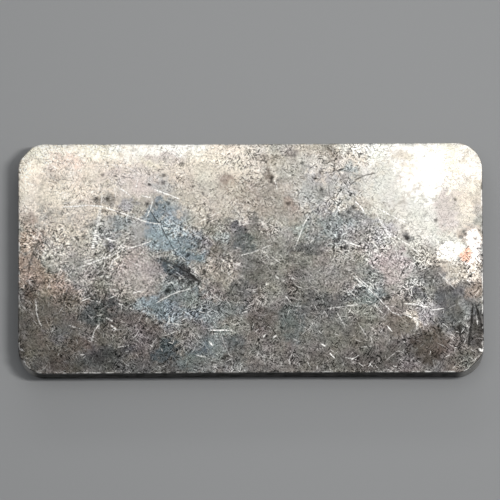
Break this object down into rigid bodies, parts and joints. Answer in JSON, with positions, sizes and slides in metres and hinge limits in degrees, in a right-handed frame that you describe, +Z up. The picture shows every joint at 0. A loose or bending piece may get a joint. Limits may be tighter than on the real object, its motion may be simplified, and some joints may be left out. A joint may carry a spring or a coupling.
{
  "type": "metal ingot",
  "caption": "Small flat rectangular silver bar with rounded corners, softly rolled edges and plain unmarked faces.",
  "frame": {"origin": "centre of the lower face, on the surface that the bar lies on", "axes": "+X along the bar's length, +Y across its width, +Z up out of its upper face"},
  "size_m": [0.05, 0.025, 0.0038],
  "materials": {
    "silver": "satin, scratched and lightly tarnished"
  },
  "bodies": {
    "root": {"ingot": "silver"}
  },
  "joints": []
}
